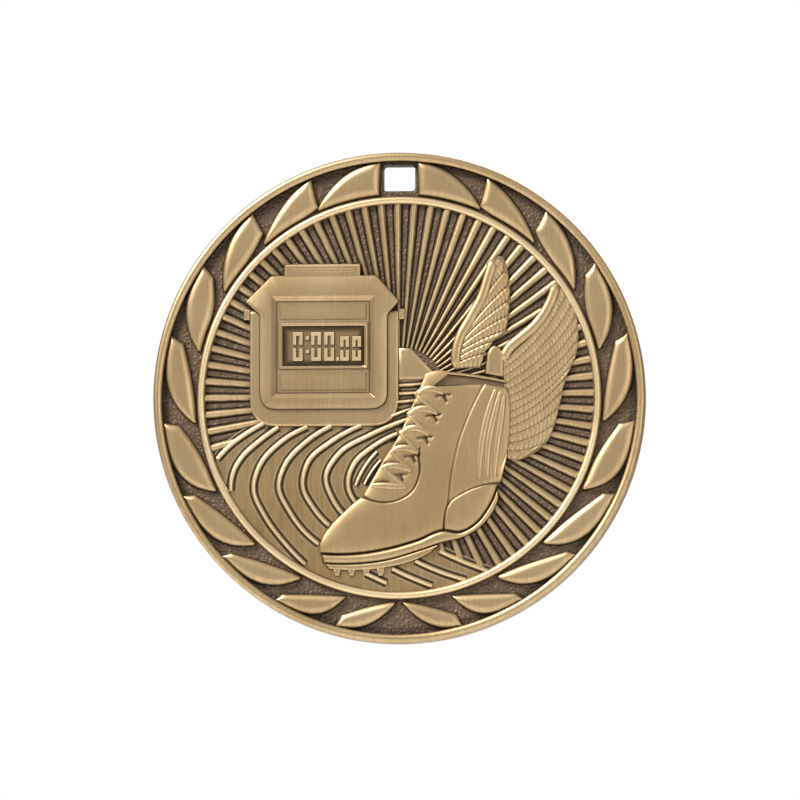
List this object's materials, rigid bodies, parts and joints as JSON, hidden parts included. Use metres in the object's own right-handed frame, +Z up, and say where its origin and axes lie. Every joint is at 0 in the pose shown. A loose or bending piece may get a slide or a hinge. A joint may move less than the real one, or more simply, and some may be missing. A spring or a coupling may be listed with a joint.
{
  "type": "award medal",
  "caption": "Round track medal with a ribbon hole, laurel wreath border and a relief of a winged running shoe, stopwatch, lanes and sun rays.",
  "frame": {"origin": "centre of the ribbon hole, half way through the medal's thickness", "axes": "-Y out of the picture side, +Y out of the back, +Z up from the disc's centre through the ribbon hole, +X to the right of someone who looks at the picture"},
  "size_m": [0.0508, 0.003, 0.0508],
  "materials": {
    "antique_gold": "antiqued, brushed highlights",
    "recessed_field": "dark pebbled antiquing"
  },
  "bodies": {
    "root": {"ankle_strap": "antique_gold", "far_lane_lines": "antique_gold", "front_wing_feathers": "antique_gold", "front_wing_leading_edge": "antique_gold", "horizon_hill": "antique_gold", "infield_lines": "antique_gold", "inner_ring": "antique_gold", "lane_line_1": "antique_gold", "lane_line_2": "antique_gold", "lane_line_3": "antique_gold", "lane_line_4": "antique_gold", "lane_line_5": "antique_gold", "lane_line_6": "antique_gold", "lane_line_7": "antique_gold", "leaf_left_01": "antique_gold", "leaf_left_02": "antique_gold", "leaf_left_03": "antique_gold", "leaf_left_04": "antique_gold", "leaf_left_05": "antique_gold", "leaf_left_06": "antique_gold", "leaf_left_07": "antique_gold", "leaf_left_08": "antique_gold", "leaf_left_09": "antique_gold", "leaf_left_10": "antique_gold", "leaf_right_01": "antique_gold", "leaf_right_02": "antique_gold", "leaf_right_03": "antique_gold", "leaf_right_04": "antique_gold", "leaf_right_05": "antique_gold", "leaf_right_06": "antique_gold", "leaf_right_07": "antique_gold", "leaf_right_08": "antique_gold", "leaf_right_09": "antique_gold", "leaf_right_10": "antique_gold", "medal_body": "recessed_field", "near_lane_lines": "antique_gold", "outer_rim": "antique_gold", "rear_wing_leading_edge": "antique_gold", "rear_wing_long_feathers": "antique_gold", "rear_wing_lower_feathers": "antique_gold", "shoe_heel_counter": "antique_gold", "shoe_heel_stripes": "antique_gold", "shoe_laces": "antique_gold", "shoe_lining": "antique_gold", "shoe_midsole": "antique_gold", "shoe_outsole": "antique_gold", "shoe_quarter": "antique_gold", "shoe_spikes": "antique_gold", "shoe_tongue": "antique_gold", "shoe_vamp": "antique_gold", "sun_rays": "antique_gold", "track_bed": "antique_gold", "watch_case": "antique_gold", "watch_crown": "antique_gold", "watch_dial": "antique_gold", "watch_digits": "antique_gold", "watch_display_frame": "antique_gold", "watch_housing": "antique_gold", "watch_nameplates": "antique_gold", "watch_pushers": "antique_gold"}
  },
  "joints": []
}
